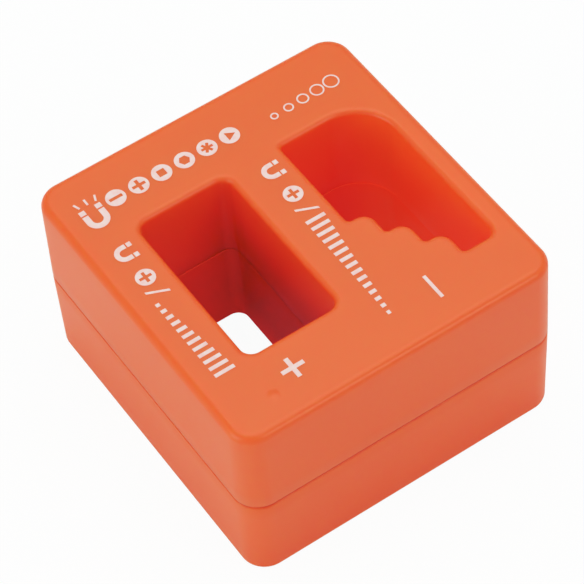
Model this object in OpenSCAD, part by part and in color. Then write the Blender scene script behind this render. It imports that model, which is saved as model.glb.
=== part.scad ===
// Screwdriver magnetizer and demagnetizer block, in two moulded half shells.
// Origin: centre of the footprint on the resting face. +Z up, +Y along the longer side.
// The rectangular passage magnetizes a blade; the stepped passage demagnetizes it.

/* [Body] */
// Width of the body along X
body_w = 50; // [48:0.5:54]
// Depth of the body along Y
body_d = 52; // [50:0.5:56]
// Height of the body
body_h = 30; // [28:0.5:34]
// Radius of the four upright corners
corner_r = 3.8; // [3:0.1:5]
// Rounding of the top edge
top_edge_r = 1.2; // [0.6:0.1:1.6]
// Rounding of the bottom edge
bottom_edge_r = 0.6; // [0.3:0.1:1.2]
// Mould draft of each half, as the inset at its outer face
draft = 0.16; // [0:0.02:0.3]
// Thickness of the walls, roof and floor
wall = 1.8; // [1.5:0.1:2]

/* [Magnetizer passage] */
// Left side of the rectangular passage
window_x = -16.2; // [-16.5:0.1:-16]
// Near side of the rectangular passage
window_y = -14; // [-14.5:0.1:-13]
// Width of the rectangular passage
window_w = 14.3; // [13.5:0.1:14.5]
// Length of the rectangular passage
window_l = 26.8; // [25:0.1:27]
// Corner radius of the rectangular passage
window_r = 1.7; // [1:0.1:3]

/* [Demagnetizer passage] */
// Left side of the first and widest step
stair_x = 6.9; // [6.8:0.05:7.2]
// Right side of the stepped passage
stair_right = 21.3; // [20.5:0.1:22]
// Far side of the stepped passage
stair_far = 12.8; // [12:0.1:14]
// Near side of the first step
stair_y = -3.35; // [-4:0.05:-3]
// Number of steps
stair_count = 4; // [3:1:4]
// Width of one step along X
stair_run = 3.1; // [2.8:0.05:3.2]
// Depth of one step along Y
stair_rise = 4.4; // [4:0.05:4.5]
// Radius of the large far right corner
stair_far_r = 6.6; // [4:0.2:8]
// Radius of the near right corner
stair_near_r = 1.3; // [0.5:0.1:1.8]
// Rounding of each step's nose
nose_r = 2.1; // [1:0.1:2.2]
// Rounding in the inner corners
inner_r = 0.5; // [0.3:0.1:0.6]

/* [Mouths] */
// Rounding of the mouths of both passages
mouth_r = 0.9; // [0.5:0.1:1]

/* [Magnets] */
// Thickness of each magnet block
magnet_t = 5; // [4:0.1:5]
// Length of each magnet block along Y
magnet_l = 26; // [20:0.5:26]
// Height of each magnet block
magnet_h = 26; // [20:0.5:26]

/* [Shell joint] */
// Height of the tongue on the lower shell
tongue_h = 1; // [0.6:0.1:1.5]
// Thickness of the tongue
tongue_t = 0.8; // [0.6:0.1:1]
// Radius of the locating pegs
peg_r = 1.3; // [1:0.1:1.5]
// Height of the locating pegs above the seam
peg_h = 4; // [2:0.5:8]
// Radius of the posts that hold the pegs and their sockets
post_r = 2.6; // [2.4:0.1:2.7]
// Clearance between parts that slot together
gap = 0.1; // [0.05:0.01:0.15]

/* [Print] */
// Thickness of the printed ink
ink_t = 0.04; // [0.03:0.01:0.1]
// Height of the symbols in the two side rows
row_h = 3; // [2.4:0.1:3.2]

/* [Hidden] */
$fn = 64;
hull_fn = 32;
seam_z = body_h / 2;
past = 1;
slab = 0.01;
orange = [0.93, 0.45, 0.26];
ink = [1, 0.93, 0.9];
ferrite = [0.2, 0.2, 0.22];
window_right = window_x + window_w;
outer_magnet_x = (-body_w / 2 + wall + window_x - wall) / 2;
centre_magnet_x = (window_right + stair_x) / 2;
magnet_y = window_y + window_l / 2;
rib_t = 1.4;
rib_gap = 0.15;
peg_places = [[-16.7, -20.6], [18.7, 20]];
function step_left(i) = stair_x + i * stair_run;
function step_near(i) = stair_y - i * stair_rise;
// Each passage is a closed path of square corners, counterclockwise: [x, y, rounding].
window_corners = [
    [window_x, window_y, window_r],
    [window_right, window_y, window_r],
    [window_right, window_y + window_l, window_r],
    [window_x, window_y + window_l, window_r]
];
stair_corners = [
    [stair_x, stair_far, inner_r],
    [stair_x, stair_y, inner_r],
    for (i = [1 : stair_count - 1], inner = [false, true])
        [step_left(i), step_near(inner ? i : i - 1), inner ? inner_r : nose_r],
    [stair_right, step_near(stair_count - 1), stair_near_r],
    [stair_right, stair_far, stair_far_r]
];

// ---- outlines ----

module round_rect(w, d, r) {
    hull_w = w / 2 - r;
    hull_d = d / 2 - r;
    square([w, 2 * hull_d], center = true);
    square([2 * hull_w, d], center = true);
    for (x = [-hull_w, hull_w], y = [-hull_d, hull_d]) translate([x, y]) circle(r);
}

// What a rounding of radius r takes off a square corner at the origin.
module cove(r) {
    difference() {
        square(r);
        translate([r, r]) circle(r);
    }
}

function place(corner) = [corner.x, corner.y];
function heading(from, to) = [sign(to.x - from.x), sign(to.y - from.y)];
function came(path, i) = heading(path[(i + len(path) - 1) % len(path)], path[i]);
function goes(path, i) = heading(path[i], path[(i + 1) % len(path)]);
function turns_in(path, i) = cross(came(path, i), goes(path, i)) > 0;
function right_of(v) = [v.y, -v.x];
function angle_of(v) = atan2(v.y, v.x);
// Direction of the side that a corner's rounding starts from, seen from the corner.
function corner_angle(path, i) = turns_in(path, i) ? angle_of(goes(path, i)) : angle_of(-came(path, i));

// The same path moved outwards by g all round.
function grown(path, g) = [
    for (i = [0 : len(path) - 1])
        let (p = place(path[i]) + g * (right_of(came(path, i)) + right_of(goes(path, i))))
            [p.x, p.y, max(0, path[i].z + (turns_in(path, i) ? g : -g))]
];

// The area inside a path, with its corners rounded.
module outline(path) {
    difference() {
        union() {
            polygon([for (corner = path) place(corner)]);
            corner_coves(path, false);
        }
        corner_coves(path, true);
    }
}

module corner_coves(path, turning_in) {
    for (i = [0 : len(path) - 1]) if (path[i].z > 0 && turns_in(path, i) == turning_in)
        translate(place(path[i])) rotate(corner_angle(path, i)) cove(path[i].z);
}

// ---- shells ----

// One half of the outside, from the seam at z = 0 up, narrowing to its rounded outer edge.
module half_block(h, edge_r) {
    w = body_w / 2 - corner_r - draft;
    d = body_d / 2 - corner_r - draft;
    hull() {
        linear_extrude(slab) round_rect(body_w, body_d, corner_r, $fn = hull_fn);
        for (x = [-w, w], y = [-d, d])
            translate([x, y, h - edge_r])
                rotate_extrude($fn = hull_fn) half_round(corner_r, edge_r);
    }
}

// Section of a disc of radius r whose rim is rounded by edge_r.
module half_round(r, edge_r) {
    square([r - edge_r, edge_r]);
    intersection() {
        translate([r - edge_r, 0]) circle(edge_r, $fn = hull_fn);
        square([r, edge_r]);
    }
}

// The hollow between the outer wall and the two passages. The stepped passage shares the right wall.
module hollow_outline() {
    shared_near = step_near(stair_count - 1) - wall;
    shared_far = stair_far - stair_far_r;
    difference() {
        round_rect(body_w - 2 * wall, body_d - 2 * wall, corner_r - wall);
        outline(grown(window_corners, wall));
        outline(grown(stair_corners, wall));
        translate([stair_right, shared_near]) square([wall + past, shared_far - shared_near]);
    }
}

// Ribs that hold both ends of both magnets.
module rib_outline() {
    rib_y = magnet_l / 2 + rib_gap;
    for (side = [-1, 1]) {
        translate([outer_magnet_x, magnet_y + side * (rib_y + rib_t / 2)])
            square([magnet_t + 2 * wall, rib_t], center = true);
        translate([centre_magnet_x, magnet_y + side * (rib_y + rib_t / 2)])
            square([magnet_t + 2 * wall, rib_t], center = true);
    }
}

module passages() {
    for (path = [window_corners, stair_corners]) {
        translate([0, 0, -past]) linear_extrude(seam_z + 2 * past) outline(path);
        translate([0, 0, seam_z]) rounded_mouth(path);
    }
}

// What rounds a passage's mouth at z = 0: a stretch along each side and a turn at each corner.
module rounded_mouth(path) {
    for (i = [0 : len(path) - 1]) {
        corner = path[i];
        next = path[(i + 1) % len(path)];
        ahead = goes(path, i);
        side = turns_in(path, i) ? 1 : -1;
        length = norm(place(next) - place(corner)) - corner.z - next.z;
        translate(place(corner) + ahead * corner.z)
            rotate([90, 0, 90 + angle_of(ahead)]) linear_extrude(length) mouth_section(-1);
        translate(place(corner) + (ahead - came(path, i)) * corner.z)
            rotate(side > 0 ? angle_of(-ahead) : angle_of(came(path, i)))
                rotate_extrude(angle = 90) translate([corner.z, 0]) mouth_section(side);
    }
}

// Section of a rounded mouth, with the wall to the right for side 1 and to the left for side -1.
module mouth_section(side) {
    spare = 0.25;
    mirror([side < 0 ? 1 : 0, 0]) difference() {
        translate([-spare, -mouth_r]) square(mouth_r + spare);
        translate([mouth_r, -mouth_r]) circle(mouth_r);
    }
}

// A hollow half shell, open at the seam at z = 0.
module half_shell(edge_r) {
    difference() {
        half_block(seam_z, edge_r);
        translate([0, 0, -past]) linear_extrude(seam_z - wall + past) difference() {
            hollow_outline();
            rib_outline();
            for (p = peg_places) translate(p) circle(post_r);
        }
        passages();
    }
}

module tongue_ring(inset, t) {
    w = body_w - 2 * wall;
    d = body_d - 2 * wall;
    difference() {
        round_rect(w + 2 * t, d + 2 * t, corner_r - wall + t);
        round_rect(w - 2 * inset, d - 2 * inset, corner_r - wall - inset);
    }
}

module upper_shell() {
    color(orange) translate([0, 0, seam_z]) difference() {
        half_shell(top_edge_r);
        translate([0, 0, -past]) linear_extrude(tongue_h + gap + past) tongue_ring(gap, tongue_t + gap);
        for (p = peg_places) translate([p.x, p.y, -past])
            cylinder(r = peg_r + gap / 2, h = peg_h + 2 * gap + past);
    }
}

module lower_shell() {
    color(orange * 0.96) translate([0, 0, seam_z]) {
        mirror([0, 0, 1]) half_shell(bottom_edge_r);
        translate([0, 0, -past]) linear_extrude(tongue_h + past) tongue_ring(0, tongue_t);
        for (p = peg_places) translate([p.x, p.y, -past]) cylinder(r = peg_r, h = peg_h + past);
    }
}

// ---- magnets ----

module magnet(x) {
    bevel = 0.5;
    color(ferrite) translate([x, magnet_y, wall]) linear_extrude(magnet_h) polygon([
        for (c = [[-1, -1], [1, -1], [1, 1], [-1, 1]], k = (c.x * c.y > 0 ? [0, 1] : [1, 0]))
            [c.x * (magnet_t / 2 - k * bevel), c.y * (magnet_l / 2 - (1 - k) * bevel)]
    ]);
}

module outer_magnet() magnet(outer_magnet_x);
module centre_magnet() magnet(centre_magnet_x);

// ---- printed symbols ----

module printed(x, y, turn = 0) {
    color(ink) translate([x, y, body_h]) rotate(turn) linear_extrude(ink_t) children();
}

// Horseshoe magnet standing on its bend, with its lower left corner at the origin.
module horseshoe(w, h, t) {
    r = w / 2;
    tip = t * 0.9;
    slot = t * 0.3;
    translate([r, r]) difference() {
        circle(r);
        circle(r - t);
        translate([-r, 0]) square([w, r]);
    }
    for (x = [0, w - t]) {
        translate([x, r]) square([t, h - r - tip - slot]);
        translate([x, h - tip]) square([t, tip]);
    }
}

// Screw head with a cross recess.
module screw_head(d) {
    slot = d * 0.17;
    difference() {
        circle(d / 2);
        square([d * 0.66, slot], center = true);
        square([slot, d * 0.66], center = true);
    }
}

module slash(h) {
    lean = h * 0.45;
    t = h * 0.13;
    polygon([[0, 0], [t, 0], [lean + t, h], [lean, h]]);
}

// A row of bars from height first to height last.
module bars(count, pitch, first, last) {
    bar_w = pitch * 0.45;
    for (i = [0 : count - 1])
        translate([i * pitch, 0]) square([bar_w, first + (last - first) * i / (count - 1)]);
}

module plus_print() {
    arm = 3.4;
    t = 0.65;
    printed(-12.6, -19) {
        square([arm, t], center = true);
        square([t, arm], center = true);
    }
}

module minus_print() {
    printed(9.4, -19.1) square([0.5, 4.2], center = true);
}

// Side row: magnet, screw head, slash, then the bars of a growing field.
module magnetize_print() {
    printed(-21.4, 11, -90) {
        horseshoe(2.8, row_h, 0.75);
        translate([6.4, row_h / 2]) screw_head(2.8);
        translate([8.5, 0]) slash(row_h);
        translate([11, 0]) bars(12, 1.27, 0.6, row_h);
    }
}

// Side row: magnet, screw head, slash, then the bars of a fading field.
module demagnetize_print() {
    printed(2.1, 11.1, -90) {
        horseshoe(2.8, row_h, 0.75);
        translate([6.4, row_h / 2]) screw_head(2.8);
        translate([8.8, 0]) slash(row_h);
        translate([11.4, 0]) bars(15, 1.32, row_h, 0.5);
    }
}

// Screw heads with slot, cross, square, hexagon, star and triangle recesses.
module bit_symbols_print() {
    d = 2.9;
    pitch = 3.66;
    printed(-15.85, 18.4) for (i = [0 : 5]) translate([i * pitch, 0]) difference() {
        circle(d / 2);
        if (i == 0) square([d * 0.7, d * 0.18], center = true);
        if (i == 1) for (a = [0, 90]) rotate(a) square([d * 0.7, d * 0.18], center = true);
        if (i == 2) square(d * 0.42, center = true);
        if (i == 3) circle(d * 0.29, $fn = 6);
        if (i == 4) for (a = [0, 60, 120]) rotate(a) square([d * 0.62, d * 0.15], center = true);
        if (i == 5) circle(d * 0.32, $fn = 3);
    }
}

// Thin rings that grow from a fine blade to a thick one.
module blade_sizes_print() {
    line = 0.22;
    printed(9.3, 17) for (i = [0 : 4]) translate([i * 2.45, 0.6 + i * 0.15]) difference() {
        circle(0.6 + i * 0.15);
        circle(0.6 + i * 0.15 - line);
    }
}

// Horseshoe magnet with three rays over its ends.
module magnet_emblem_print() {
    printed(-21.4, 15.1) {
        horseshoe(3.4, 4, 0.9);
        for (i = [-1 : 1]) translate([1.7 + i * 1.25, 4.5]) rotate(-i * 20) square([0.3, 1.1]);
    }
}

upper_shell();
lower_shell();
outer_magnet();
centre_magnet();
plus_print();
minus_print();
magnetize_print();
demagnetize_print();
bit_symbols_print();
blade_sizes_print();
magnet_emblem_print();
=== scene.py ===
import math

import bmesh
import bpy
from mathutils import Matrix, Vector
from mathutils.geometry import delaunay_2d_cdt


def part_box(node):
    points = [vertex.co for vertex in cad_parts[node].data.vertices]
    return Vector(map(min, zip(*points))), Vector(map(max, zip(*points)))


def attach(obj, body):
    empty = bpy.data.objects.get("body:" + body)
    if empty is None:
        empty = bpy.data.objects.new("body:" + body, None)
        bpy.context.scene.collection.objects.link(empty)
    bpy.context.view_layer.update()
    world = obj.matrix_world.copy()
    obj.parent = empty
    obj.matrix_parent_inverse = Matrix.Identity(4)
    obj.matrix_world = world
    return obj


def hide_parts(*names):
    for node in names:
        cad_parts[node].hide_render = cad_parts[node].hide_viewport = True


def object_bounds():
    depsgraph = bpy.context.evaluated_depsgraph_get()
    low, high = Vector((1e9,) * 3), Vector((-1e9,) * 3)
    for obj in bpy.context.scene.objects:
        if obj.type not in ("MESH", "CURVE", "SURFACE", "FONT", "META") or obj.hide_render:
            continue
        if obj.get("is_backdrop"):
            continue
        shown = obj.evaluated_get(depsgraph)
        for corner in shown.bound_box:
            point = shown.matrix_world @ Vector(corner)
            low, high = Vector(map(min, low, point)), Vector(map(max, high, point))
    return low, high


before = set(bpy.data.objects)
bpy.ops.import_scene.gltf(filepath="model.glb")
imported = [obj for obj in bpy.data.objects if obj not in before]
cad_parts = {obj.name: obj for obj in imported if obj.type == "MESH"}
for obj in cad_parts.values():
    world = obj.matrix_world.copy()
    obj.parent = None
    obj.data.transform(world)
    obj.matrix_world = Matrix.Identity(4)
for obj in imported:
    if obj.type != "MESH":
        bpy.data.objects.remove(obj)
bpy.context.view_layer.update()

# ---------------------------------------------------------------- dimensions
# Shapes are drawn in millimetres and turned into metres when their mesh is finished.

MM = 0.001
low, high = (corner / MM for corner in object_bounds())
WIDTH = high.x - low.x
DEPTH = high.y - low.y
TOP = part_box("upper_shell")[1].z / MM
SEAM = TOP / 2
CORNER_R = 3.8
DRAFT = 0.16
TOP_EDGE_R = 1.2
BOTTOM_EDGE_R = 0.6
MOUTH_R = 0.9
WALL = 1.8
# The flat margin beside each rounded edge, which keeps the edge's shading off the face.
HOLD = 0.06
# How far a cutter or a joined shape runs past the face that it meets.
PAST = 1.0

# The seam: an open groove in the lower half, and passages that sit a little nearer in the lower half.
UPPER_LIP_R = 0.06
LOWER_LIP_R = 0.35
UPPER_INNER_LIP_R = 0.02
LOWER_INNER_LIP_R = 0.05
SEAM_GAP = 0.3
SEAM_DEPTH = 0.6
MISMATCH = 0.2

WINDOW = dict(left=-16.2, near=-14.0, width=14.3, length=26.8, corner_r=1.7)
STAIR = dict(left=6.9, right=21.3, far=12.8, near=-3.35, steps=4, run=3.1, rise=4.4)
FAR_CORNER_R = 6.6
NOSE_R = 2.1
INNER_R = 0.5
NEAR_R = 1.3

PEG_PLACES = ((-16.7, -20.6), (18.7, 20.0))
PEG_R = 1.3
PEG_H = 4.0
POST_R = 2.6
TONGUE_H = 1.0
TONGUE_T = 0.8
GAP = 0.1
# The tongue's inner face stands this far inside the wall, so that the two faces don't coincide.
CLEAR = 0.03
# Edges shorter than this are closed up.
WELD = 0.003
RIB_T = 1.4
RIB_CLEAR = 0.15
RIB_FOOT = 0.3
MARK_PLACE = (-17.0, -21.15)
MARK_R = 1.1
MARK_H = 0.16
MAGNET_EDGE = 0.4

FLOOR_GAP = 0.05
FLOOR_SIZE = 1.5
# The floor and the sky look this bright to the camera.
BACKDROP_WHITE = 0.95

# Where the camera stands and how it is turned, in degrees and millimetres.
CAMERA = dict(azimuth=-30.2, elevation=52.24, roll=-5.12, distance=388.79, shift_x=-0.57, shift_y=1.39,
              aim_z=14, lens=175.286, sensor=36)

ORANGE = (1.0, 0.165, 0.02)
# Painted shade on the passage walls that have a magnet close behind them.
MAGNET_SHADE_PAINT = (0.62, 0.8, 0.85)
# Painted shade in the outer seam groove, darker than its own shadow makes it.
SEAM_SHADE_PAINT = (0.35, 0.3, 0.3)


# ---------------------------------------------------------------- plan outlines

def body_corners():
    """The body's outside at the seam, counterclockwise, as (x, y, rounding)."""
    x, y = WIDTH / 2, DEPTH / 2
    return [(-x, -y, CORNER_R), (x, -y, CORNER_R), (x, y, CORNER_R), (-x, y, CORNER_R)]


def window_corners():
    x0, y0, r = WINDOW["left"], WINDOW["near"], WINDOW["corner_r"]
    x1, y1 = x0 + WINDOW["width"], y0 + WINDOW["length"]
    return [(x0, y0, r), (x1, y0, r), (x1, y1, r), (x0, y1, r)]


def stair_corners():
    corners = [(STAIR["left"], STAIR["far"], INNER_R), (STAIR["left"], STAIR["near"], INNER_R)]
    for i in range(1, STAIR["steps"]):
        x = STAIR["left"] + i * STAIR["run"]
        y = STAIR["near"] - i * STAIR["rise"]
        corners.append((x, y + STAIR["rise"], NOSE_R))
        corners.append((x, y, INNER_R))
    corners.append((STAIR["right"], y, NEAR_R))
    corners.append((STAIR["right"], STAIR["far"], FAR_CORNER_R))
    return corners


def arc_steps(radius):
    return max(6, min(28, round(radius * 4.5)))


def plan_loop(corners, grow):
    """Points around a path of square corners moved outwards by grow, the same number for every grow."""
    n = len(corners)
    points = [Vector(c[:2]) for c in corners]
    arcs = []
    for i, (x, y, radius) in enumerate(corners):
        came = (points[i] - points[i - 1]).normalized()
        goes = (points[(i + 1) % n] - points[i]).normalized()
        turn = 1 if came.cross(goes) > 0 else -1
        tip = points[i] + grow * (Vector((came.y, -came.x)) + Vector((goes.y, -goes.x)))
        r = max(radius + turn * grow, 0.02)
        centre = tip + (goes - came) * r
        spoke = tip - came * r - centre
        steps = arc_steps(radius)
        arc = []
        for k in range(steps + 1):
            a = turn * math.pi / 2 * k / steps
            arc.append(centre + Matrix.Rotation(a, 2) @ spoke)
        arcs.append(arc)
    loop = []
    for i, arc in enumerate(arcs):
        loop += arc
        start, end = arc[-1], arcs[(i + 1) % n][0]
        length = (points[(i + 1) % n] - points[i]).length
        stretches = max(1, round(length / 2.5))
        loop += [start.lerp(end, k / stretches) for k in range(1, stretches)]
    return loop


def circle_loop(x, y, radius, steps=32):
    turns = [2 * math.pi * k / steps for k in range(steps)]
    return [Vector((x + radius * math.cos(a), y + radius * math.sin(a))) for a in turns]


def box_loop(x0, y0, x1, y1):
    return [Vector((x0, y0)), Vector((x1, y0)), Vector((x1, y1)), Vector((x0, y1))]


# ---------------------------------------------------------------- mesh building

def fill(bm, rings, face_up):
    """Fills the flat area inside the first ring and outside the others. A ring is a list of vertices."""
    verts = [v for ring in rings for v in ring]
    outlines, start = [], 0
    for ring in rings:
        outlines.append(list(range(start, start + len(ring))))
        start += len(ring)
    flat = [v.co.to_2d() for v in verts]
    out = delaunay_2d_cdt(flat, [], outlines, 1, 1e-6)
    for face, within in zip(out[2], out[5]):
        if list(within) == [0]:
            corners = [verts[out[3][i][0]] for i in face]
            bm.faces.new(corners if face_up else corners[::-1])


def add_ring(bm, loop, z):
    return [bm.verts.new((p.x, p.y, z)) for p in loop]


def skin(bm, rings, outwards):
    """Joins neighbouring rings with quads that face away from the area inside them, or into it."""
    for lower, upper in zip(rings, rings[1:]):
        count = len(lower)
        for i in range(count):
            j = (i + 1) % count
            quad = (lower[i], lower[j], upper[j], upper[i])
            bm.faces.new(quad if outwards else quad[::-1])


def prism(name, loops, z0, z1):
    """A closed upright solid: the first loop is its outside, and the others are holes through it."""
    bm = bmesh.new()
    lower = [add_ring(bm, loop, z0) for loop in loops]
    upper = [add_ring(bm, loop, z1) for loop in loops]
    for i, (a, b) in enumerate(zip(lower, upper)):
        skin(bm, [a, b], outwards=(i == 0))
    fill(bm, lower, face_up=False)
    fill(bm, upper, face_up=True)
    return finish_mesh(bm, name)


def finish_mesh(bm, name):
    mesh = bpy.data.meshes.new(name)
    bm.to_mesh(mesh)
    bm.free()
    piece = bpy.data.objects.new(name, mesh)
    bpy.context.scene.collection.objects.link(piece)
    return piece


def combine(piece, other, operation):
    """Cuts other from piece, or joins it on, and removes other."""
    modifier = piece.modifiers.new("combine", "BOOLEAN")
    modifier.operation = operation
    modifier.solver = "EXACT"
    modifier.object = other
    bpy.context.view_layer.update()
    result = piece.evaluated_get(bpy.context.evaluated_depsgraph_get())
    mesh = bpy.data.meshes.new_from_object(result)
    old = piece.data
    piece.modifiers.clear()
    piece.data = mesh
    bpy.data.meshes.remove(old)
    spare = other.data
    bpy.data.objects.remove(other)
    bpy.data.meshes.remove(spare)


def quarter(radius, steps=8):
    """Points of a quarter turn as (across, along), from (0, 0) to (radius, radius), starting along."""
    turns = [math.pi / 2 * k / steps for k in range(steps + 1)]
    return [(radius * (1 - math.cos(a)), radius * math.sin(a)) for a in turns]


# ---------------------------------------------------------------- shells
# A half is drawn with its seam at height 0 and its outer face at height SEAM, then placed.

def edge_profile(inset, edge_r, seam_r, gap, levels=6):
    """(moved in, height) up one wall: seam gap and edge, straight wall, rounded outer edge."""
    rows = [(SEAM_DEPTH, 0), (SEAM_DEPTH, gap)] if gap else []
    rows += [(a, gap + seam_r - b) for a, b in reversed(quarter(seam_r, 3))]
    foot = gap + seam_r
    straight = SEAM - edge_r - foot
    for k in range(1, levels):
        share = k / levels
        rows.append((inset * share, foot + straight * share))
    rows += [(inset + a, SEAM - edge_r + b) for a, b in quarter(edge_r)]
    rows.append((inset + edge_r + HOLD, SEAM))
    return rows


def half_shell(name, edge_r, seam_r, gap, inner_seam_r, mismatch):
    """One half with both passages through it, still solid inside. The passages sit nearer by mismatch."""
    bm = bmesh.new()
    seam_rings, face_rings = [], []
    nearer = Vector((0, -mismatch))
    walls = ((body_corners(), -1, Vector((0, 0)), DRAFT, edge_r, seam_r, gap),
             (window_corners(), 1, nearer, 0, MOUTH_R, inner_seam_r, 0),
             (stair_corners(), 1, nearer, 0, MOUTH_R, inner_seam_r, 0))
    for corners, side, shift, *profile in walls:
        rings = []
        for moved, z in edge_profile(*profile):
            loop = [point + shift for point in plan_loop(corners, side * moved)]
            rings.append(add_ring(bm, loop, z))
        skin(bm, rings, outwards=(side < 0))
        seam_rings.append(rings[0])
        face_rings.append(rings[-1])
    fill(bm, seam_rings, face_up=False)
    fill(bm, face_rings, face_up=True)
    return finish_mesh(bm, name)


def hollow(name):
    """The space between the outer wall and the two passages, up to the roof."""
    loops = [plan_loop(body_corners(), -WALL), plan_loop(window_corners(), WALL),
             plan_loop(stair_corners(), WALL)]
    piece = prism(name, loops, -PAST, SEAM - WALL)
    near = STAIR["near"] - (STAIR["steps"] - 1) * STAIR["rise"] - WALL
    shared = box_loop(STAIR["right"], near, WIDTH / 2, STAIR["far"] - FAR_CORNER_R)
    combine(piece, prism("shared_wall", [shared], -2 * PAST, SEAM), "DIFFERENCE")
    return piece


def magnet_places():
    return [[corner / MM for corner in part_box(node)] for node in ("outer_magnet", "centre_magnet")]


def add_ribs(piece):
    """Ribs that hold both ends of both magnets, from the roof to just short of the seam."""
    for near, far in magnet_places():
        for y in (near.y - RIB_CLEAR - RIB_T, far.y + RIB_CLEAR):
            x0, x1 = near.x - WALL * 0.7, far.x + WALL * 0.7
            rib = prism("rib", [box_loop(x0, y, x1, y + RIB_T)], RIB_FOOT, SEAM - WALL / 2)
            combine(piece, rib, "UNION")


def roof_mark(x, y):
    """A low round bump on the outer face, of the kind that moulding leaves."""
    bm = bmesh.new()
    rings = [add_ring(bm, circle_loop(x, y, MARK_R * 10 / 9, 48), SEAM - WALL / 3)]
    for k in range(10, 0, -1):
        share = k / 9
        rise = MARK_H * (1 + math.cos(math.pi * min(share, 1))) / 2 - 0.02 * max(share - 1, 0)
        rings.append(add_ring(bm, circle_loop(x, y, MARK_R * share, 48), SEAM + rise))
    skin(bm, rings, outwards=True)
    fill(bm, [rings[0]], face_up=False)
    fill(bm, [rings[-1]], face_up=True)
    return finish_mesh(bm, "roof_mark")


def finished_half(name, *edges):
    piece = half_shell(name, *edges)
    combine(piece, hollow("hollow"), "DIFFERENCE")
    add_ribs(piece)
    for x, y in PEG_PLACES:
        post = prism("post", [circle_loop(x, y, POST_R)], 0, SEAM - WALL / 2)
        combine(piece, post, "UNION")
    return piece


def tongue(name, outer_extra, inner_extra, z0, z1):
    outer = plan_loop(body_corners(), -WALL + outer_extra)
    inner = plan_loop(body_corners(), -WALL - inner_extra)
    return prism(name, [outer, inner], z0, z1)


def weld(piece):
    """Closes up the very short edges that cutting leaves, and the slivers between them."""
    bm = bmesh.new()
    bm.from_mesh(piece.data)
    bmesh.ops.dissolve_degenerate(bm, dist=WELD, edges=bm.edges[:])
    bmesh.ops.remove_doubles(bm, verts=bm.verts[:], dist=WELD)
    bm.to_mesh(piece.data)
    bm.free()


def place_shell(piece, node, flip):
    weld(piece)
    turn = Matrix.Scale(-1, 4, (0, 0, 1)) if flip else Matrix.Identity(4)
    piece.data.transform(Matrix.Scale(MM, 4) @ Matrix.Translation((0, 0, SEAM)) @ turn)
    if flip:
        piece.data.flip_normals()
    shade(piece)
    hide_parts(node)
    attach(piece, "root")


def shade(piece, angle=32):
    for polygon in piece.data.polygons:
        polygon.use_smooth = True
    piece.data.set_sharp_from_angle(angle=math.radians(angle))


def upper_shell():
    piece = finished_half("upper_shell_visual", TOP_EDGE_R, UPPER_LIP_R, 0, UPPER_INNER_LIP_R, 0)
    combine(piece, tongue("rebate", TONGUE_T + GAP, GAP, -PAST, TONGUE_H + GAP), "DIFFERENCE")
    for x, y in PEG_PLACES:
        socket = prism("socket", [circle_loop(x, y, PEG_R + GAP / 2)], -PAST, PEG_H + 2 * GAP)
        combine(piece, socket, "DIFFERENCE")
    combine(piece, roof_mark(*MARK_PLACE), "UNION")
    place_shell(piece, "upper_shell", flip=False)
    return piece


def lower_shell():
    piece = finished_half("lower_shell_visual", BOTTOM_EDGE_R, LOWER_LIP_R, SEAM_GAP, LOWER_INNER_LIP_R,
                          MISMATCH)
    combine(piece, tongue("tongue", TONGUE_T, -CLEAR, -TONGUE_H, PAST), "UNION")
    for x, y in PEG_PLACES:
        peg = prism("peg", [circle_loop(x, y, PEG_R)], -PEG_H, PAST)
        combine(piece, peg, "UNION")
    place_shell(piece, "lower_shell", flip=True)
    return piece


def magnet(node):
    """A ground ferrite block with its edges broken."""
    near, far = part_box(node)
    bm = bmesh.new()
    bmesh.ops.create_cube(bm, size=1)
    for vert in bm.verts:
        vert.co = Vector([(a + b) / 2 + c * (b - a) for a, b, c in zip(near, far, vert.co)])
    bmesh.ops.bevel(bm, geom=bm.edges[:], offset=MAGNET_EDGE * MM, segments=3, profile=0.5, affect="EDGES")
    piece = finish_mesh(bm, node + "_visual")
    shade(piece)
    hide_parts(node)
    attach(piece, "root")
    return piece


# ---------------------------------------------------------------- materials

def new_material(name):
    material = bpy.data.materials.new(name)
    material.use_nodes = True
    tree = material.node_tree
    tree.nodes.clear()
    out = tree.nodes.new("ShaderNodeOutputMaterial")
    shader = tree.nodes.new("ShaderNodeBsdfPrincipled")
    tree.links.new(shader.outputs["BSDF"], out.inputs["Surface"])
    return material, tree, shader


def add_noise(tree, scale, detail=2.0, roughness=0.5):
    where = tree.nodes.new("ShaderNodeTexCoord")
    noise = tree.nodes.new("ShaderNodeTexNoise")
    noise.inputs["Scale"].default_value = scale
    noise.inputs["Detail"].default_value = detail
    noise.inputs["Roughness"].default_value = roughness
    tree.links.new(where.outputs["Object"], noise.inputs["Vector"])
    return noise


def add_ramp(tree, source, stops):
    ramp = tree.nodes.new("ShaderNodeValToRGB")
    elements = ramp.color_ramp.elements
    while len(elements) < len(stops):
        elements.new(0.5)
    for element, (position, colour) in zip(elements, stops):
        element.position = position
        element.color = (*colour, 1)
    tree.links.new(source, ramp.inputs["Fac"])
    return ramp


def add_range(tree, source, low_value, high_value):
    node = tree.nodes.new("ShaderNodeMapRange")
    node.inputs["To Min"].default_value = low_value
    node.inputs["To Max"].default_value = high_value
    tree.links.new(source, node.inputs["Value"])
    return node


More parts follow.
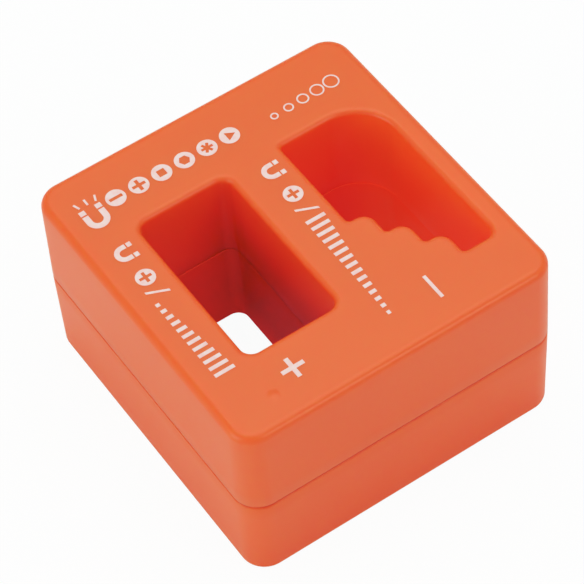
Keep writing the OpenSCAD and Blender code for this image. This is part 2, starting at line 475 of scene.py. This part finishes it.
def plastic(name, base):
    material, tree, shader = new_material(name)
    blotches = add_noise(tree, 60, 3)
    tint = add_ramp(tree, blotches.outputs["Fac"], [
        (0.35, [c * 0.985 for c in base]), (0.65, [min(1, c * 1.015) for c in base])])
    # Painted shade: darker on the passage walls with a magnet close behind them.
    shaded = darken(tree, tint.outputs["Color"], magnet_shade(tree), MAGNET_SHADE_PAINT)
    # Painted shade: darker in the outer seam groove.
    seam_shaded = darken(tree, shaded, seam_painted_shade(tree), SEAM_SHADE_PAINT)
    tree.links.new(seam_shaded, shader.inputs["Base Color"])
    # Painted light: the stepped passage glows orange, more strongly towards its shared outer wall,
    # standing for daylight through that wall.
    beside_wall = near_outer_wall(tree)
    painted_light_colour = add_ramp(tree, beside_wall, [(0, (1.0, 0.11, 0.013)), (1, (1.0, 0.22, 0.022))])
    tree.links.new(painted_light_colour.outputs["Color"], shader.inputs["Emission Color"])
    strength = add_range(tree, beside_wall, 0.04, 0.13)
    glow = math_node(tree, "MULTIPLY", painted_light_through(tree), strength.outputs["Result"])
    tree.links.new(glow, shader.inputs["Emission Strength"])
    rough = add_range(tree, add_noise(tree, 220, 3).outputs["Fac"], 0.31, 0.35)
    tree.links.new(rough.outputs["Result"], shader.inputs["Roughness"])
    grain = add_bump(tree, add_noise(tree, 5200, 2).outputs["Fac"], 0.12, 0.00005)
    tree.links.new(grain, shader.inputs["Normal"])
    shader.inputs["IOR"].default_value = 1.5
    shader.inputs["Subsurface Weight"].default_value = 0.5
    shader.inputs["Subsurface Radius"].default_value = (1.0, 0.12, 0.03)
    shader.inputs["Subsurface Scale"].default_value = 0.003
    return material


def darken(tree, colour, mask, factor):
    """Multiplies a colour by a factor where the mask is 1."""
    mix = tree.nodes.new("ShaderNodeMix")
    mix.data_type = "RGBA"
    mix.blend_type = "MULTIPLY"
    base, tinted = [socket for socket in mix.inputs if socket.type == "RGBA"]
    tinted.default_value = (*factor, 1)
    tree.links.new(mask, mix.inputs["Factor"])
    tree.links.new(colour, base)
    return next(socket for socket in mix.outputs if socket.type == "RGBA")


def add_bump(tree, height, strength, distance):
    bump = tree.nodes.new("ShaderNodeBump")
    bump.inputs["Strength"].default_value = strength
    bump.inputs["Distance"].default_value = distance
    tree.links.new(height, bump.inputs["Height"])
    return bump.outputs["Normal"]


def math_node(tree, operation, *values):
    node = tree.nodes.new("ShaderNodeMath")
    node.operation = operation
    for i, value in enumerate(values):
        if isinstance(value, (int, float)):
            node.inputs[i].default_value = value
        else:
            tree.links.new(value, node.inputs[i])
    return node.outputs[0]


def smooth_range(tree, value, first, last, at_first=0, at_last=1):
    """at_first up to first, at_last from last on, with a smooth change between."""
    node = add_range(tree, value, at_first, at_last)
    node.interpolation_type = "SMOOTHSTEP"
    node.inputs["From Min"].default_value = first
    node.inputs["From Max"].default_value = last
    return node.outputs["Result"]


def fade(tree, value, first, last, soft):
    """1 between first and last, falling to 0 over a soft edge on both sides."""
    off = math_node(tree, "ABSOLUTE", math_node(tree, "SUBTRACT", value, (first + last) / 2))
    half = (last - first) / 2
    return smooth_range(tree, off, half - soft, half + soft, 1, 0)


def axes_of(tree):
    where = tree.nodes.new("ShaderNodeTexCoord")
    axes = tree.nodes.new("ShaderNodeSeparateXYZ")
    tree.links.new(where.outputs["Object"], axes.inputs[0])
    return axes.outputs["X"], axes.outputs["Y"], axes.outputs["Z"]


def magnet_shade(tree):
    """1 on the passage walls that have a dark magnet close behind them, falling off towards its ends;
    painted shade darkens the plastic there.
    """
    x, y, z = axes_of(tree)
    low_end, high_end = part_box("centre_magnet")
    right = WINDOW["left"] + WINDOW["width"]
    rise = smooth_range(tree, x, (right - 6) * MM, (right - 1.2) * MM)
    walls = math_node(tree, "MULTIPLY", rise,
                      math_node(tree, "LESS_THAN", x, (STAIR["left"] + 0.3) * MM))
    along = fade(tree, y, low_end.y, high_end.y, 0.003)
    up = fade(tree, z, low_end.z, high_end.z - 0.006, 0.005)
    return math_node(tree, "MULTIPLY", walls, math_node(tree, "MULTIPLY", along, up))


def seam_painted_shade(tree):
    """1 in the open seam around the outside, where painted shade darkens the groove beyond its own shadow.
    """
    x, y, z = axes_of(tree)
    out_x = math_node(tree, "GREATER_THAN", math_node(tree, "ABSOLUTE", x), (WIDTH / 2 - 1) * MM)
    out_y = math_node(tree, "GREATER_THAN", math_node(tree, "ABSOLUTE", y), (DEPTH / 2 - 1) * MM)
    outside = math_node(tree, "MAXIMUM", out_x, out_y)
    up = fade(tree, z, (SEAM - SEAM_GAP - 0.02) * MM, (SEAM + 0.06) * MM, 0.00004)
    return math_node(tree, "MULTIPLY", outside, up)


def painted_light_through(tree):
    """1 inside the stepped passage, where the plastic glows with painted light that stands for daylight
    through the single outer wall.
    """
    x, y, z = axes_of(tree)
    near = STAIR["near"] - STAIR["steps"] * STAIR["rise"]
    across = fade(tree, x, (STAIR["left"] - 0.3) * MM, (STAIR["right"] + 1) * MM, 0.0002)
    along = fade(tree, y, near * MM, (STAIR["far"] + 1) * MM, 0.0002)
    up = fade(tree, z, 0.0005, (TOP - 0.7) * MM, 0.0004)
    return math_node(tree, "MULTIPLY", across, math_node(tree, "MULTIPLY", along, up))


def near_outer_wall(tree):
    """0 in the middle of the stepped passage, rising to 1 on the wall that it shares with the outside;
    sets the colour and strength of the painted light.
    """
    x, _, _ = axes_of(tree)
    return smooth_range(tree, x, (STAIR["right"] - 7) * MM, STAIR["right"] * MM)


def ink():
    material, tree, shader = new_material("pad_print_white")
    density = add_noise(tree, 900, 3)
    stops = [(0.3, (1.0, 0.66, 0.64)), (0.6, (1.0, 0.78, 0.76))]
    tint = add_ramp(tree, density.outputs["Fac"], stops)
    tree.links.new(tint.outputs["Color"], shader.inputs["Base Color"])
    shader.inputs["Roughness"].default_value = 0.5
    return material


def ferrite():
    material, tree, shader = new_material("ground_ferrite")
    grain = add_noise(tree, 1800, 4, 0.65)
    stops = [(0.3, (0.025, 0.025, 0.028)), (0.7, (0.07, 0.07, 0.075))]
    tint = add_ramp(tree, grain.outputs["Fac"], stops)
    tree.links.new(tint.outputs["Color"], shader.inputs["Base Color"])
    shader.inputs["Roughness"].default_value = 0.55
    return material


def paint(piece, material):
    if len(piece.material_slots) == 0:
        piece.data.materials.append(material)
    for slot in piece.material_slots:
        slot.material = material


# ---------------------------------------------------------------- stage

def floor():
    bm = bmesh.new()
    bmesh.ops.create_grid(bm, x_segments=8, y_segments=8, size=FLOOR_SIZE)
    piece = finish_mesh(bm, "floor")
    piece.location.z = -FLOOR_GAP * MM
    material, tree, shader = new_material("floor_white")
    shader.inputs["Roughness"].default_value = 0.8
    shader.inputs["Base Color"].default_value = (0.9, 0.9, 0.9, 1)
    glow = tree.nodes.new("ShaderNodeEmission")
    path = tree.nodes.new("ShaderNodeLightPath")
    share = add_range(tree, path.outputs["Is Camera Ray"], 0.02, BACKDROP_WHITE)
    mix = tree.nodes.new("ShaderNodeMixShader")
    out = next(n for n in tree.nodes if n.type == "OUTPUT_MATERIAL")
    tree.links.new(share.outputs["Result"], mix.inputs["Fac"])
    tree.links.new(shader.outputs["BSDF"], mix.inputs[1])
    tree.links.new(glow.outputs["Emission"], mix.inputs[2])
    tree.links.new(mix.outputs["Shader"], out.inputs["Surface"])
    paint(piece, material)
    piece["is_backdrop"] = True


def area_light(name, place, target, size, power):
    data = bpy.data.lights.new(name, "AREA")
    data.size = size
    data.energy = power
    light = bpy.data.objects.new(name, data)
    bpy.context.scene.collection.objects.link(light)
    light.location = place
    light.rotation_euler = (Vector(target) - Vector(place)).to_track_quat("-Z", "Y").to_euler()


def sky(strength):
    world = bpy.data.worlds.new("soft_white")
    bpy.context.scene.world = world
    world.use_nodes = True
    tree = world.node_tree
    background = tree.nodes["Background"]
    background.inputs["Color"].default_value = (1, 1, 1, 1)
    path = tree.nodes.new("ShaderNodeLightPath")
    share = add_range(tree, path.outputs["Is Camera Ray"], strength, BACKDROP_WHITE)
    tree.links.new(share.outputs["Result"], background.inputs["Strength"])


def camera():
    azimuth, elevation, roll = (math.radians(CAMERA[turn]) for turn in ("azimuth", "elevation", "roll"))
    back = Vector((math.sin(azimuth) * math.cos(elevation), -math.cos(azimuth) * math.cos(elevation),
                   math.sin(elevation)))
    right = Vector((math.cos(azimuth), math.sin(azimuth), 0))
    up = back.cross(right)
    place = Vector((0, 0, CAMERA["aim_z"])) + back * CAMERA["distance"]
    place += right * CAMERA["shift_x"] + up * CAMERA["shift_y"]
    turned_right = math.cos(roll) * right + math.sin(roll) * up
    turned_up = math.cos(roll) * up - math.sin(roll) * right
    data = bpy.data.cameras.new("camera")
    data.sensor_width = CAMERA["sensor"]
    data.lens = CAMERA["lens"]
    data.clip_start = 0.01
    piece = bpy.data.objects.new("camera", data)
    bpy.context.scene.collection.objects.link(piece)
    axes = Matrix((turned_right, turned_up, back)).transposed().to_4x4()
    piece.matrix_world = Matrix.Translation(place * MM) @ axes
    bpy.context.scene.camera = piece


def grade():
    """Plain colours with steeper contrast: red lifts, and green drops out of the deep shadows."""
    view = bpy.context.scene.view_settings
    view.view_transform = "Standard"
    view.use_curve_mapping = True
    mapping = view.curve_mapping
    lifts = (((0.12, 0.16), (0.3, 0.46), (0.5, 0.63), (0.7, 0.75), (0.83, 0.83)),
             ((0.012, 0.011), (0.03, 0.017), (0.06, 0.035), (0.12, 0.1), (0.18, 0.18)),
             ((0.002, 0.009), (0.01, 0.013), (0.025, 0.023), (0.06, 0.06)))
    for curve, points in zip(mapping.curves, lifts):
        for x, y in points:
            curve.points.new(x, y)
    mapping.update()


# ---------------------------------------------------------------- the scene

orange = plastic("orange_plastic", ORANGE)
halves = {"upper_plastic": upper_shell(), "lower_plastic": lower_shell()}
for slot_name, half in halves.items():
    paint(half, orange)
white_ink = ink()
dark_ferrite = ferrite()
for node_name, node_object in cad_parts.items():
    if node_name.endswith("_print"):
        paint(node_object, white_ink)
for node_name in ("outer_magnet", "centre_magnet"):
    block = magnet(node_name)
    paint(block, dark_ferrite)
floor()
sky(0.5)
area_light("key", (0.12, 0.12, 0.7), (0, 0, 0), 0.7, 1.75)
area_light("front", (0.25, -0.62, 0.42), (0, 0, 0.02), 0.22, 0.5)
area_light("fill", (-0.75, 0.05, 0.25), (0, 0, 0.01), 0.5, 1.2)
camera()
grade()
